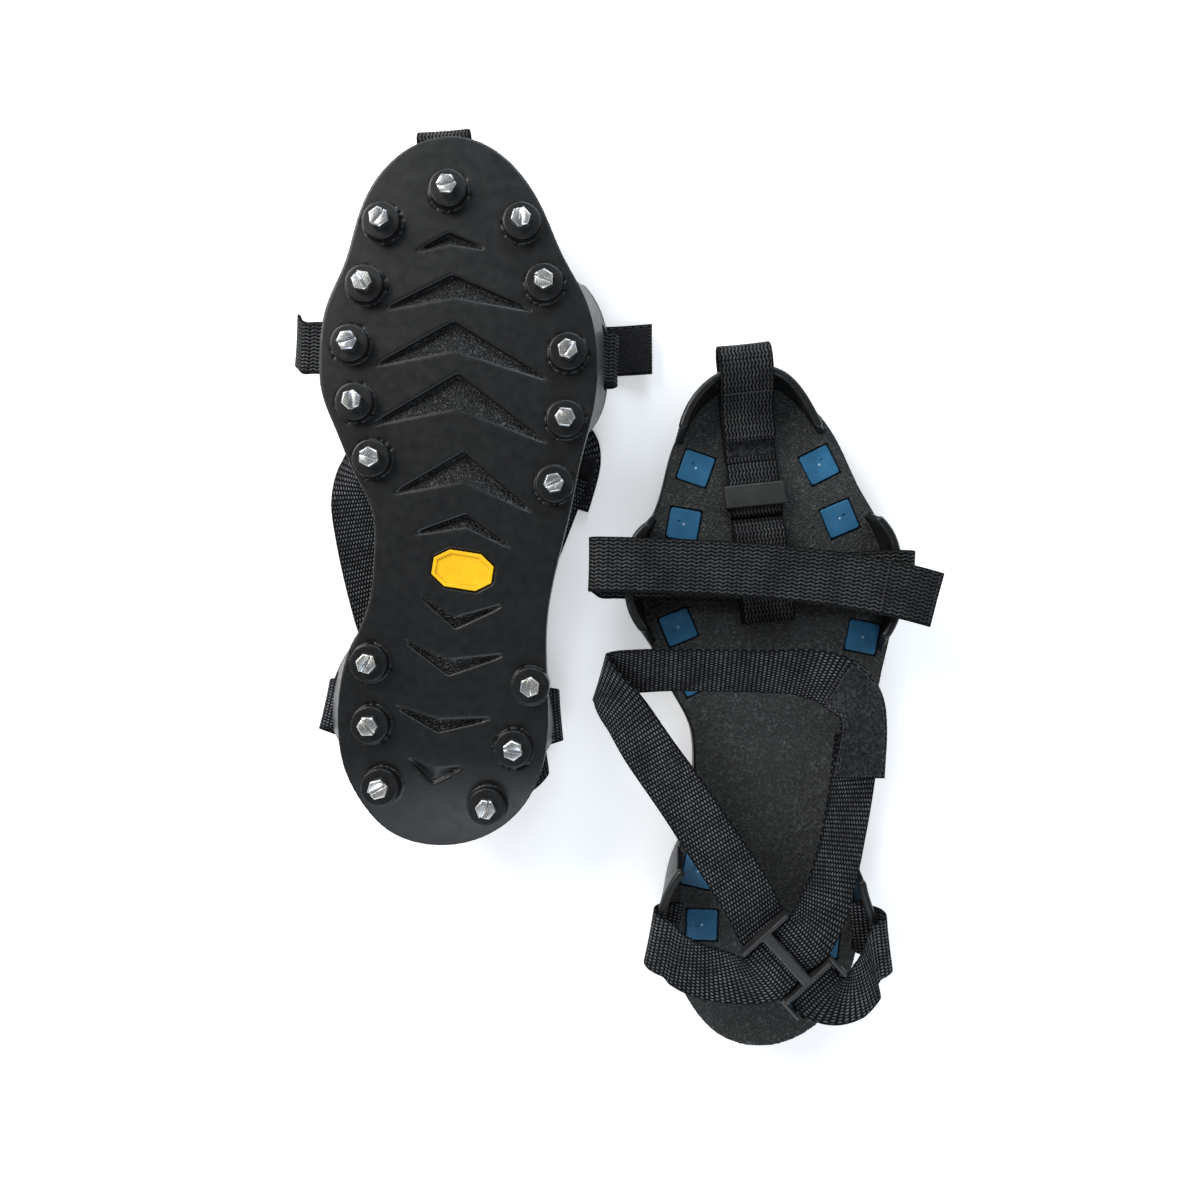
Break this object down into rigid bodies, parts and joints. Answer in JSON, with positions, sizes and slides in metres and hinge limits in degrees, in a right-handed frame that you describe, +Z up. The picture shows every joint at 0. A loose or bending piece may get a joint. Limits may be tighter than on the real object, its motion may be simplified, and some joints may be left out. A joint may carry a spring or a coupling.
{
  "type": "strap-on ice cleats",
  "caption": "Pair of rubber overshoe ice cleats: hex-head screw cleats in a treaded outsole, with toe, instep and ankle straps; one sole up, one standing.",
  "frame": {"origin": "centre of the pair's footprint, on the ground", "axes": "+Z up, +Y towards the toes of both feet, +X towards the outer side of the right foot"},
  "size_m": [0.3038, 0.4365, 0.0594],
  "materials": {
    "rubber": "satin moulded rubber",
    "footbed": "fine leather grain",
    "zinc": "bright zinc plate",
    "anchor_blue": "satin moulded plastic",
    "badge_yellow": "satin, raised border",
    "plastic": "matte moulded",
    "webbing": "woven webbing with pale flecks",
    "pile": "loop pile",
    "hook": "hook tape"
  },
  "bodies": {
    "right_foot": {"right_outsole": "rubber", "right_footbed": "footbed", "right_cleat_screws": "zinc", "right_anchor_plates": "anchor_blue", "right_badge": "badge_yellow", "right_toe_strap": "webbing", "right_toe_loop_pad": "pile", "right_instep_strap": "webbing", "right_instep_loop_pad": "pile", "right_ankle_anchor_medial": "webbing", "right_ankle_anchor_lateral": "webbing"},
    "right_toe_flap": {"right_toe_flap": "webbing", "right_toe_hook_pad": "hook"},
    "right_toe_keeper": {"right_toe_keeper": "plastic"},
    "right_instep_flap": {"right_instep_flap": "webbing", "right_instep_hook_pad": "hook"},
    "right_ankle_harness": {"right_ankle_strap_medial": "webbing", "right_ankle_strap_lateral": "webbing", "right_crossing_buckle": "plastic"},
    "right_ankle_closure": {"right_ankle_closure": "webbing", "right_closure_pad": "pile", "right_closure_hook_pad": "hook"},
    "left_foot": {"left_outsole": "rubber", "left_footbed": "footbed", "left_cleat_screws": "zinc", "left_anchor_plates": "anchor_blue", "left_badge": "badge_yellow", "left_toe_strap": "webbing", "left_toe_loop_pad": "pile", "left_instep_strap": "webbing", "left_instep_loop_pad": "pile", "left_ankle_anchor_medial": "webbing", "left_ankle_anchor_lateral": "webbing"},
    "left_toe_flap": {"left_toe_flap": "webbing", "left_toe_hook_pad": "hook"},
    "left_toe_keeper": {"left_toe_keeper": "plastic"},
    "left_instep_flap": {"left_instep_flap": "webbing", "left_instep_hook_pad": "hook"},
    "left_ankle_harness": {"left_ankle_strap_medial": "webbing", "left_ankle_strap_lateral": "webbing", "left_crossing_buckle": "plastic"},
    "left_ankle_closure": {"left_ankle_closure": "webbing", "left_closure_pad": "pile", "left_closure_hook_pad": "hook"}
  },
  "joints": [
    {"name": "right_toe_flap_lift", "type": "hinge", "parent": "right_foot", "child": "right_toe_flap", "pos_m": [0.06565, 0.11259, 0.028], "axis": [-0.9946, -0.1041, 0], "range_deg": [0, 120]},
    {"name": "right_toe_keeper_slide", "type": "slide", "parent": "right_foot", "child": "right_toe_keeper", "axis": [-0.1041, 0.9946, 0], "range_m": [0, 0.009]},
    {"name": "right_instep_flap_lift", "type": "hinge", "parent": "right_foot", "child": "right_instep_flap", "pos_m": [-0.00483, 0.01202, 0.041], "axis": [0.0122, -0.9999, 0], "range_deg": [0, 100]},
    {"name": "right_ankle_harness_lift", "type": "hinge", "parent": "right_foot", "child": "right_ankle_harness", "pos_m": [0.07727, -0.17519, 0.044], "axis": [0.9999, 0.0122, 0], "range_deg": [0, 70]},
    {"name": "right_ankle_closure_lift", "type": "hinge", "parent": "right_ankle_harness", "child": "right_ankle_closure", "pos_m": [0.00858, -0.03752, 0.051], "axis": [0.0122, -0.9999, 0], "range_deg": [0, 110]},
    {"name": "left_toe_flap_lift", "type": "hinge", "parent": "left_foot", "child": "left_toe_flap", "pos_m": [-0.07537, 0.21412, 0.0314], "axis": [0.9972, 0.0746, 0], "range_deg": [0, 120]},
    {"name": "left_toe_keeper_slide", "type": "slide", "parent": "left_foot", "child": "left_toe_keeper", "axis": [-0.0746, 0.9972, 0], "range_m": [0, 0.009]},
    {"name": "left_instep_flap_lift", "type": "hinge", "parent": "left_foot", "child": "left_instep_flap", "pos_m": [-0.14789, 0.12187, 0.0184], "axis": [0.0175, 0.9998, 0], "range_deg": [0, 85]},
    {"name": "left_ankle_harness_lift", "type": "hinge", "parent": "left_foot", "child": "left_ankle_harness", "pos_m": [-0.07229, -0.07388, 0.0154], "axis": [-0.9998, 0.0175, 0], "range_deg": [0, 40]},
    {"name": "left_ankle_closure_lift", "type": "hinge", "parent": "left_ankle_harness", "child": "left_ankle_closure", "pos_m": [-0.12247, 0.06001, 0.0084], "axis": [0.0175, 0.9998, 0], "range_deg": [0, 60]},
    {"name": "left_foot_turn", "type": "hinge", "parent": "right_foot", "child": "left_foot", "pos_m": [-0.158, 0, 0.0297], "axis": [0, -1, 0], "range_deg": [0, 180]}
  ],
  "couplings": [
    {"joint": "left_toe_flap_lift", "follows": "left_foot_turn", "ratio": 0.66667},
    {"joint": "left_instep_flap_lift", "follows": "left_foot_turn", "ratio": 0.47222},
    {"joint": "left_ankle_harness_lift", "follows": "left_foot_turn", "ratio": 0.22222},
    {"joint": "left_ankle_closure_lift", "follows": "left_foot_turn", "ratio": 0.33333}
  ]
}
